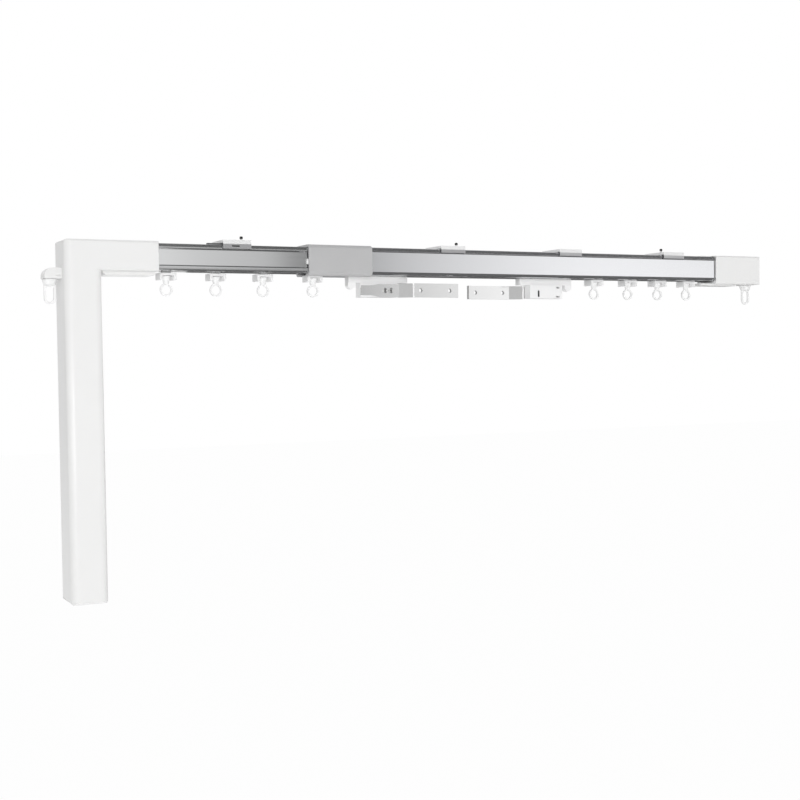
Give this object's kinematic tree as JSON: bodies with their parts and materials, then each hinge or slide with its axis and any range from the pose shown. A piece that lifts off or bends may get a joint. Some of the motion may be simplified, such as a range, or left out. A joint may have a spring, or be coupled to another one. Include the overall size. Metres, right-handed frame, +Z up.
{
  "type": "electric curtain track",
  "caption": "Telescopic ceiling curtain rail with a corner motor drive, belt-driven lead carriers, wheeled runners with swivelling rings, end caps and ceiling clips.",
  "frame": {"origin": "screw hole of the first clip on the outer rail, on the ceiling plane", "axes": "+X along the rail from the drive to the end cap, -Y towards the room, +Z up to the ceiling"},
  "size_m": [0.8428, 0.0428, 0.342],
  "materials": {
    "white_plastic": "smooth satin moulding",
    "white_runner": "smooth, slightly glossy",
    "rail_aluminium": "anodised, fine extrusion lines",
    "grey_plastic": "fine matte texture",
    "clip_steel": "zinc plated",
    "arm_steel": "brushed along its length",
    "screw_steel": "plated",
    "lever_plastic": "matte",
    "belt_rubber": "matte",
    "pulley_plastic": "smooth",
    "motor_steel": "satin paint",
    "gearbox_metal": "machined",
    "board": "solder mask",
    "socket_black": "matte"
  },
  "bodies": {
    "track": {"outer_rail": "rail_aluminium", "joint_sleeve": "grey_plastic", "end_cap": "white_plastic", "end_cap_lid": "white_plastic", "idler_axle": "screw_steel", "ceiling_clips": "clip_steel", "drive_belt": "belt_rubber"},
    "inner_track": {"inner_rail": "rail_aluminium", "drive_housing": "white_plastic", "rear_cover": "white_plastic", "cover_screws": "screw_steel", "slot_cover": "white_plastic", "bottom_cap": "white_plastic", "power_inlet": "socket_black", "motor_can": "motor_steel", "gearbox": "gearbox_metal", "circuit_board": "board", "left_end_arm": "white_plastic", "inner_clip": "clip_steel"},
    "drive_shaft": {"output_shaft": "screw_steel", "drive_pulley": "pulley_plastic"},
    "idler": {"idler_pulley": "pulley_plastic"},
    "left_loop": {"left_end_loop": "white_runner"},
    "right_loop": {"right_end_loop": "white_runner"},
    "button": {"set_button": "grey_plastic"},
    "lever": {"clip_lever": "lever_plastic"},
    "left_lead": {"left_carrier": "white_runner", "left_arm": "arm_steel", "left_arm_screws": "screw_steel"},
    "left_axle_a": {"left_wheels_a": "white_runner"},
    "left_axle_b": {"left_wheels_b": "white_runner"},
    "right_lead": {"right_carrier": "white_runner", "right_arm": "arm_steel", "right_arm_screws": "screw_steel"},
    "right_axle_a": {"right_wheels_a": "white_runner"},
    "right_axle_b": {"right_wheels_b": "white_runner"},
    "runner_1_body": {"runner_1": "white_runner"},
    "runner_1_axle": {"runner_1_wheels": "white_runner"},
    "runner_1_eye": {"runner_1_ring": "white_runner"},
    "runner_2_body": {"runner_2": "white_runner"},
    "runner_2_axle": {"runner_2_wheels": "white_runner"},
    "runner_2_eye": {"runner_2_ring": "white_runner"},
    "runner_3_body": {"runner_3": "white_runner"},
    "runner_3_axle": {"runner_3_wheels": "white_runner"},
    "runner_3_eye": {"runner_3_ring": "white_runner"},
    "runner_4_body": {"runner_4": "white_runner"},
    "runner_4_axle": {"runner_4_wheels": "white_runner"},
    "runner_4_eye": {"runner_4_ring": "white_runner"},
    "runner_5_body": {"runner_5": "white_runner"},
    "runner_5_axle": {"runner_5_wheels": "white_runner"},
    "runner_5_eye": {"runner_5_ring": "white_runner"},
    "runner_6_body": {"runner_6": "white_runner"},
    "runner_6_axle": {"runner_6_wheels": "white_runner"},
    "runner_6_eye": {"runner_6_ring": "white_runner"},
    "runner_7_body": {"runner_7": "white_runner"},
    "runner_7_axle": {"runner_7_wheels": "white_runner"},
    "runner_7_eye": {"runner_7_ring": "white_runner"},
    "runner_8_body": {"runner_8": "white_runner"},
    "runner_8_axle": {"runner_8_wheels": "white_runner"},
    "runner_8_eye": {"runner_8_ring": "white_runner"}
  },
  "joints": [
    {"name": "telescope", "type": "slide", "parent": "track", "child": "inner_track", "axis": [1, 0, 0], "range_m": [-0.06, 0.05], "deforming": ["drive_belt"]},
    {"name": "left_lead_travel", "type": "slide", "parent": "inner_track", "child": "left_lead", "axis": [1, 0, 0], "range_m": [-0.1, 0.03]},
    {"name": "right_lead_travel", "type": "slide", "parent": "track", "child": "right_lead", "axis": [1, 0, 0], "range_m": [-0.0303, 0.1003]},
    {"name": "drive_turn", "type": "hinge", "parent": "inner_track", "child": "drive_shaft", "pos_m": [-0.39035, 0, -0.01365], "axis": [0, 0, 1], "continuous": true},
    {"name": "idler_turn", "type": "hinge", "parent": "track", "child": "idler", "pos_m": [0.3884, 0, -0.01365], "axis": [0, 0, 1], "continuous": true},
    {"name": "left_axle_a_roll", "type": "hinge", "parent": "left_lead", "child": "left_axle_a", "pos_m": [-0.1061, 0, -0.0255], "axis": [0, 1, 0], "continuous": true},
    {"name": "left_axle_b_roll", "type": "hinge", "parent": "left_lead", "child": "left_axle_b", "pos_m": [-0.0581, 0, -0.0255], "axis": [0, 1, 0], "continuous": true},
    {"name": "right_axle_a_roll", "type": "hinge", "parent": "right_lead", "child": "right_axle_a", "pos_m": [0.1474, 0, -0.0271], "axis": [0, 1, 0], "continuous": true},
    {"name": "right_axle_b_roll", "type": "hinge", "parent": "right_lead", "child": "right_axle_b", "pos_m": [0.0994, 0, -0.0271], "axis": [0, 1, 0], "continuous": true},
    {"name": "runner_1_travel", "type": "slide", "parent": "inner_track", "child": "runner_1_body", "axis": [1, 0, 0], "range_m": [-0.0028, 0.00105]},
    {"name": "runner_1_roll", "type": "hinge", "parent": "runner_1_body", "child": "runner_1_axle", "pos_m": [-0.3066, 0, -0.0255], "axis": [0, 1, 0], "continuous": true},
    {"name": "runner_1_swivel", "type": "hinge", "parent": "runner_1_body", "child": "runner_1_eye", "pos_m": [-0.3066, 0, -0.04815], "axis": [0, 0, 1], "continuous": true},
    {"name": "runner_2_travel", "type": "slide", "parent": "inner_track", "child": "runner_2_body", "axis": [1, 0, 0], "range_m": [-0.0223, 0.0069]},
    {"name": "runner_2_roll", "type": "hinge", "parent": "runner_2_body", "child": "runner_2_axle", "pos_m": [-0.2566, 0, -0.0255], "axis": [0, 1, 0], "continuous": true},
    {"name": "runner_2_swivel", "type": "hinge", "parent": "runner_2_body", "child": "runner_2_eye", "pos_m": [-0.2566, 0, -0.04815], "axis": [0, 0, 1], "continuous": true},
    {"name": "runner_3_travel", "type": "slide", "parent": "inner_track", "child": "runner_3_body", "axis": [1, 0, 0], "range_m": [-0.0463, 0.0141]},
    {"name": "runner_3_roll", "type": "hinge", "parent": "runner_3_body", "child": "runner_3_axle", "pos_m": [-0.2076, 0, -0.0255], "axis": [0, 1, 0], "continuous": true},
    {"name": "runner_3_swivel", "type": "hinge", "parent": "runner_3_body", "child": "runner_3_eye", "pos_m": [-0.2076, 0, -0.04815], "axis": [0, 0, 1], "continuous": true},
    {"name": "runner_4_travel", "type": "slide", "parent": "inner_track", "child": "runner_4_body", "axis": [1, 0, 0], "range_m": [-0.0723, 0.0219]},
    {"name": "runner_4_roll", "type": "hinge", "parent": "runner_4_body", "child": "runner_4_axle", "pos_m": [-0.1538, 0, -0.0255], "axis": [0, 1, 0], "continuous": true},
    {"name": "runner_4_swivel", "type": "hinge", "parent": "runner_4_body", "child": "runner_4_eye", "pos_m": [-0.1538, 0, -0.04815], "axis": [0, 0, 1], "continuous": true},
    {"name": "runner_5_travel", "type": "slide", "parent": "track", "child": "runner_5_body", "axis": [1, 0, 0], "range_m": [-0.0234, 0.0773]},
    {"name": "runner_5_roll", "type": "hinge", "parent": "runner_5_body", "child": "runner_5_axle", "pos_m": [0.1906, 0, -0.0271], "axis": [0, 1, 0], "continuous": true},
    {"name": "runner_5_swivel", "type": "hinge", "parent": "runner_5_body", "child": "runner_5_eye", "pos_m": [0.1906, 0, -0.04815], "axis": [0, 0, 1], "continuous": true},
    {"name": "runner_6_travel", "type": "slide", "parent": "track", "child": "runner_6_body", "axis": [1, 0, 0], "range_m": [-0.015, 0.0493]},
    {"name": "runner_6_roll", "type": "hinge", "parent": "runner_6_body", "child": "runner_6_axle", "pos_m": [0.2374, 0, -0.0271], "axis": [0, 1, 0], "continuous": true},
    {"name": "runner_6_swivel", "type": "hinge", "parent": "runner_6_body", "child": "runner_6_eye", "pos_m": [0.2374, 0, -0.04815], "axis": [0, 0, 1], "continuous": true},
    {"name": "runner_7_travel", "type": "slide", "parent": "track", "child": "runner_7_body", "axis": [1, 0, 0], "range_m": [-0.0081, 0.0263]},
    {"name": "runner_7_roll", "type": "hinge", "parent": "runner_7_body", "child": "runner_7_axle", "pos_m": [0.2796, 0, -0.0271], "axis": [0, 1, 0], "continuous": true},
    {"name": "runner_7_swivel", "type": "hinge", "parent": "runner_7_body", "child": "runner_7_eye", "pos_m": [0.2796, 0, -0.04815], "axis": [0, 0, 1], "continuous": true},
    {"name": "runner_8_travel", "type": "slide", "parent": "track", "child": "runner_8_body", "axis": [1, 0, 0], "range_m": [-0.0012, 0.0033]},
    {"name": "runner_8_roll", "type": "hinge", "parent": "runner_8_body", "child": "runner_8_axle", "pos_m": [0.3212, 0, -0.0271], "axis": [0, 1, 0], "continuous": true},
    {"name": "runner_8_swivel", "type": "hinge", "parent": "runner_8_body", "child": "runner_8_eye", "pos_m": [0.3212, 0, -0.04815], "axis": [0, 0, 1], "continuous": true},
    {"name": "left_loop_swivel", "type": "hinge", "parent": "inner_track", "child": "left_loop", "pos_m": [-0.4173, 0, -0.03925], "axis": [0, 0, 1], "continuous": true},
    {"name": "right_loop_swivel", "type": "hinge", "parent": "track", "child": "right_loop", "pos_m": [0.4111, 0, -0.0357], "axis": [0, 0, 1], "continuous": true},
    {"name": "clip_lever_swing", "type": "hinge", "parent": "inner_track", "child": "lever", "pos_m": [-0.2481, -0.007, -0.0047], "axis": [0, 0, 1], "range_deg": [-80, 0]},
    {"name": "button_press", "type": "slide", "parent": "inner_track", "child": "button", "axis": [0, 0, 1], "range_m": [0, 0.0012], "stiffness_N_per_m": 300, "springref_m": -0.0005}
  ],
  "couplings": [
    {"joint": "right_lead_travel", "follows": "left_lead_travel", "ratio": -1},
    {"joint": "drive_turn", "follows": "left_lead_travel", "rad_per_m": 114.94},
    {"joint": "idler_turn", "follows": "left_lead_travel", "rad_per_m": 114.94},
    {"joint": "left_axle_a_roll", "follows": "left_lead_travel", "rad_per_m": 277.78},
    {"joint": "left_axle_b_roll", "follows": "left_lead_travel", "rad_per_m": 277.78},
    {"joint": "right_axle_a_roll", "follows": "left_lead_travel", "rad_per_m": -277.78},
    {"joint": "right_axle_b_roll", "follows": "left_lead_travel", "rad_per_m": -277.78},
    {"joint": "runner_1_travel", "follows": "left_lead_travel", "ratio": 0.025},
    {"joint": "runner_1_roll", "follows": "left_lead_travel", "rad_per_m": 6.9444},
    {"joint": "runner_2_travel", "follows": "left_lead_travel", "ratio": 0.22},
    {"joint": "runner_2_roll", "follows": "left_lead_travel", "rad_per_m": 61.111},
    {"joint": "runner_3_travel", "follows": "left_lead_travel", "ratio": 0.46},
    {"joint": "runner_3_roll", "follows": "left_lead_travel", "rad_per_m": 127.78},
    {"joint": "runner_4_travel", "follows": "left_lead_travel", "ratio": 0.72},
    {"joint": "runner_4_roll", "follows": "left_lead_travel", "rad_per_m": 200},
    {"joint": "runner_5_travel", "follows": "left_lead_travel", "ratio": -0.77},
    {"joint": "runner_5_roll", "follows": "left_lead_travel", "rad_per_m": -213.89},
    {"joint": "runner_6_travel", "follows": "left_lead_travel", "ratio": -0.49},
    {"joint": "runner_6_roll", "follows": "left_lead_travel", "rad_per_m": -136.11},
    {"joint": "runner_7_travel", "follows": "left_lead_travel", "ratio": -0.26},
    {"joint": "runner_7_roll", "follows": "left_lead_travel", "rad_per_m": -72.222},
    {"joint": "runner_8_travel", "follows": "left_lead_travel", "ratio": -0.03},
    {"joint": "runner_8_roll", "follows": "left_lead_travel", "rad_per_m": -8.3333}
  ]
}
